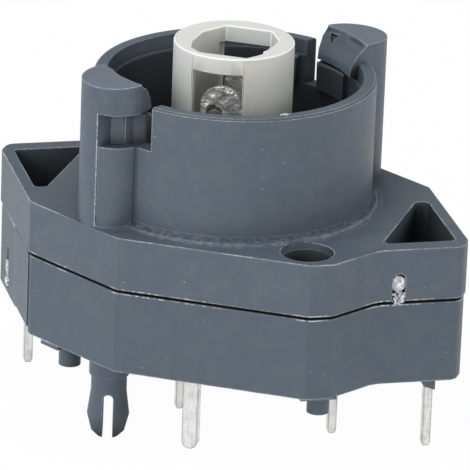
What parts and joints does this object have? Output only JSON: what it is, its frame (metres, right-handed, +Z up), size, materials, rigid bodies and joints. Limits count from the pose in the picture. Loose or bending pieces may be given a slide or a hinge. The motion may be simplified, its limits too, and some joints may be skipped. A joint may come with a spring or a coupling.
{
  "type": "illuminated push button switch",
  "caption": "Board-mounted contact block with lamp holder for an illuminated push button: two latch towers on a round collar, sprung plunger, snap pegs and solder pins.",
  "frame": {"origin": "on the collar axis, in the plane of the circuit board's top face, where the standoffs end", "axes": "+Z up along the collar axis, away from the board; the two wings point to -X and +X"},
  "size_m": [0.0318, 0.032, 0.0305],
  "materials": {
    "housing_plastic": "satin moulded polyamide, fine grain",
    "holder_plastic": "satin, warm off-white",
    "plunger_plastic": "satin black",
    "clear_melt": "glossy, melted, whitish",
    "spring_steel": "drawn wire",
    "bronze": "stamped strip",
    "contact_silver": "silver alloy, matt",
    "tinned_bronze": "hot tinned, bumpy"
  },
  "bodies": {
    "housing": {"cover": "housing_plastic", "base": "housing_plastic", "lock_plugs": "clear_melt", "lamp_holder": "holder_plastic", "common_a": "tinned_bronze", "common_b": "tinned_bronze", "upper_throw_a": "tinned_bronze", "upper_throw_b": "tinned_bronze", "lower_throw_a": "tinned_bronze", "lower_throw_b": "tinned_bronze", "fixed_buttons_a": "contact_silver", "fixed_buttons_b": "contact_silver", "lamp_contact_front": "tinned_bronze", "lamp_contact_back": "tinned_bronze", "lamp_rivet_front": "contact_silver", "lamp_rivet_back": "contact_silver", "return_spring": "spring_steel"},
    "plunger": {"plunger": "plunger_plastic", "bridge_spring_a": "spring_steel", "bridge_spring_b": "spring_steel"},
    "bridge_a": {"bridge_a": "bronze", "bridge_buttons_a": "contact_silver"},
    "bridge_b": {"bridge_b": "bronze", "bridge_buttons_b": "contact_silver"}
  },
  "joints": [
    {"name": "plunger_slide", "type": "slide", "parent": "housing", "child": "plunger", "axis": [0, 0, 1], "range_m": [-0.0022, 0], "stiffness_N_per_m": 400, "springref_m": 0.003, "deforming": ["return_spring"]},
    {"name": "bridge_slide_a", "type": "slide", "parent": "plunger", "child": "bridge_a", "axis": [0, 0, 1], "range_m": [0, 0.0003], "deforming": ["bridge_spring_a"]},
    {"name": "bridge_slide_b", "type": "slide", "parent": "plunger", "child": "bridge_b", "axis": [0, 0, 1], "range_m": [0, 0.0003], "deforming": ["bridge_spring_b"]}
  ],
  "couplings": [
    {"joint": "bridge_slide_a", "follows": "plunger_slide", "ratio": -0.13636},
    {"joint": "bridge_slide_b", "follows": "plunger_slide", "ratio": -0.13636}
  ]
}
